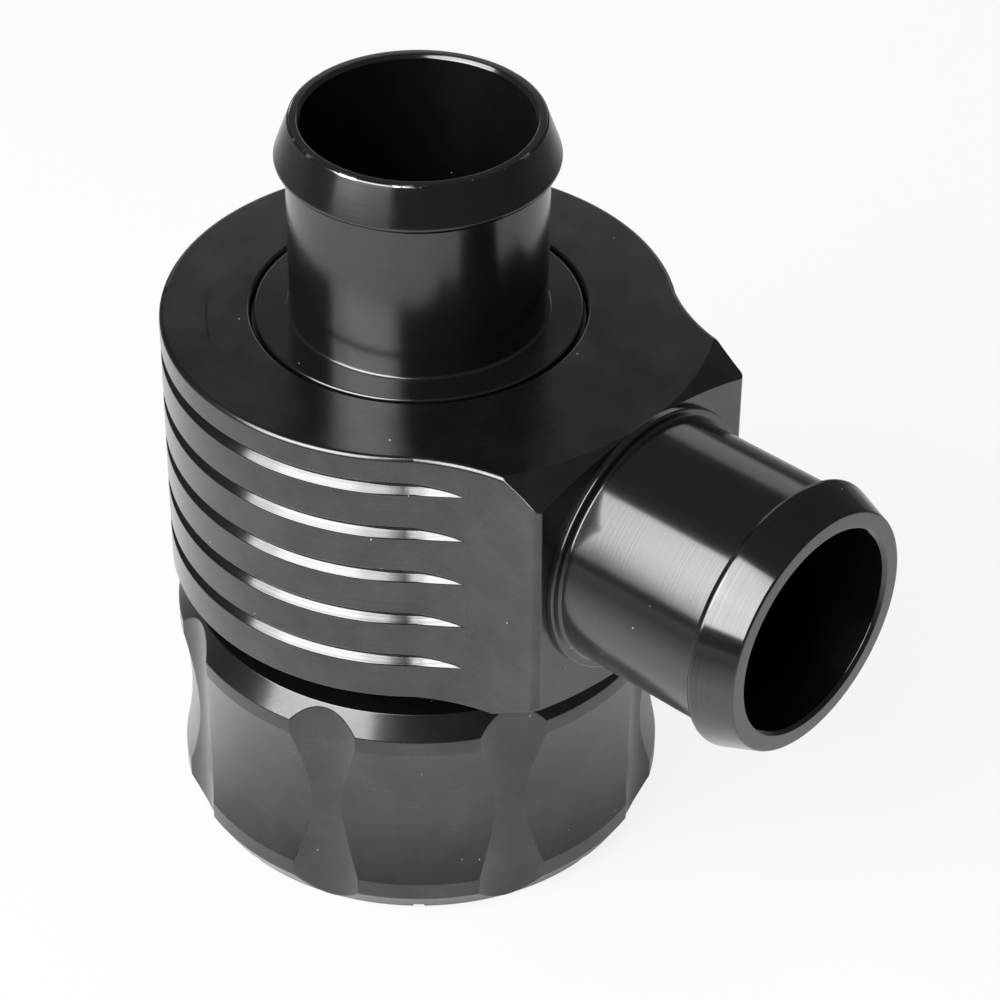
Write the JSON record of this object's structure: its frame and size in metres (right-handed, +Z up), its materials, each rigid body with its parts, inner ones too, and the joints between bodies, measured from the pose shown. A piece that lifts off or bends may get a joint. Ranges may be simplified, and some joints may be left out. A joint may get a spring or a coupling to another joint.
{
  "type": "blow off valve",
  "caption": "Piston blow off valve: grooved round body with a hose tail on top, a hose tail at the side and a fluted screw cap that sets the spring.",
  "frame": {"origin": "centre of the signal port's mouth on the grip cap's end face, which is the face the valve stands on", "axes": "+Z up along the main axis towards the inlet's mouth, +X along the outlet towards its mouth"},
  "size_m": [0.1135, 0.076, 0.1195],
  "materials": {
    "anodised_body": "satin black anodised, turned and milled",
    "anodised_tail": "glossy black anodised, fine turning lines",
    "anodised_piston": "hard black anodised",
    "anodised_cap": "satin black anodised, turned",
    "seal_rubber": "matt",
    "guide_plastic": "smooth",
    "spring_steel": "bright drawn wire",
    "seat_aluminium": "turned",
    "washer_brass": "flat"
  },
  "bodies": {
    "valve": {"valve_body": "anodised_body", "inlet_tail": "anodised_tail", "inlet_seal_ring": "seal_rubber", "outlet_tail": "anodised_tail", "outlet_seal_ring": "seal_rubber", "cap_seal_ring": "seal_rubber"},
    "piston": {"piston": "anodised_piston", "piston_face_seal": "seal_rubber", "piston_seal_ring": "seal_rubber", "piston_guide_ring": "guide_plastic"},
    "seat": {"spring_seat": "seat_aluminium", "thrust_washer": "washer_brass", "main_spring": "spring_steel"},
    "cap": {"grip_cap": "anodised_cap"}
  },
  "joints": [
    {"name": "piston_slide", "type": "slide", "parent": "valve", "child": "piston", "axis": [0, 0, -1], "range_m": [0, 0.014], "stiffness_N_per_m": 3000, "springref_m": -0.004, "deforming": ["main_spring"]},
    {"name": "seat_slide", "type": "slide", "parent": "valve", "child": "seat", "axis": [0, 0, 1], "range_m": [-0.0016, 0.0046], "deforming": ["main_spring"]},
    {"name": "cap_turn", "type": "hinge", "parent": "seat", "child": "cap", "pos_m": [0, 0, 0], "axis": [0, 0, 1], "range_deg": [-360, 1080]}
  ],
  "couplings": [
    {"joint": "seat_slide", "follows": "cap_turn", "m_per_rad": 0.00023873}
  ]
}
